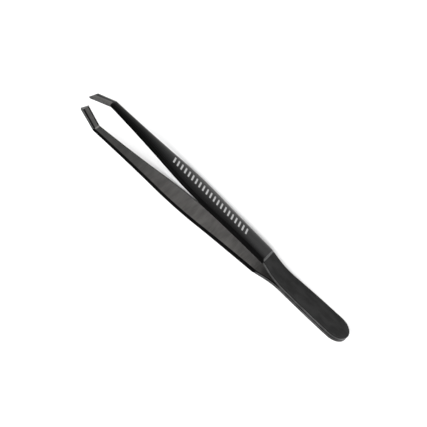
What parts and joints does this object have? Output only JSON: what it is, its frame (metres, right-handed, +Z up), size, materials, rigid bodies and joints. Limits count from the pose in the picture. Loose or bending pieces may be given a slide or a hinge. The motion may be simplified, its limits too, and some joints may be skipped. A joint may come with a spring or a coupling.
{
  "type": "slant tweezers",
  "caption": "Slant-tipped spring tweezers with crowned arms, a flat round heel and inward-bent gripping tips, for plucking hair.",
  "frame": {"origin": "under the middle of the tweezers, on the surface that their long edges stand on", "axes": "+X from the heel to the tips, +Y the way the left arm springs out, +Z up across the width of the blades"},
  "size_m": [0.095, 0.011, 0.009],
  "materials": {
    "matte_coat": "matte black coating with a fine even grain",
    "gloss_coat": "gloss black coating, satin on the inner faces",
    "weld_steel": "fused steel"
  },
  "bodies": {
    "heel": {"left_heel_plate": "matte_coat", "right_heel_plate": "matte_coat", "spot_welds": "weld_steel", "left_spring_leaf": "matte_coat", "right_spring_leaf": "matte_coat"},
    "left_arm": {"left_arm": "gloss_coat"},
    "right_arm": {"right_arm": "gloss_coat"}
  },
  "joints": [
    {"name": "left_flex", "type": "hinge", "parent": "heel", "child": "left_arm", "pos_m": [-0.022, 0.00093, 0.0045], "axis": [0, 0, -1], "range_deg": [0, 1.76], "stiffness_Nm_per_rad": 4, "deforming": ["left_spring_leaf"]},
    {"name": "right_flex", "type": "hinge", "parent": "heel", "child": "right_arm", "pos_m": [-0.022, -0.00093, 0.0045], "axis": [0, 0, 1], "range_deg": [0, 1.76], "stiffness_Nm_per_rad": 4, "deforming": ["right_spring_leaf"]}
  ]
}
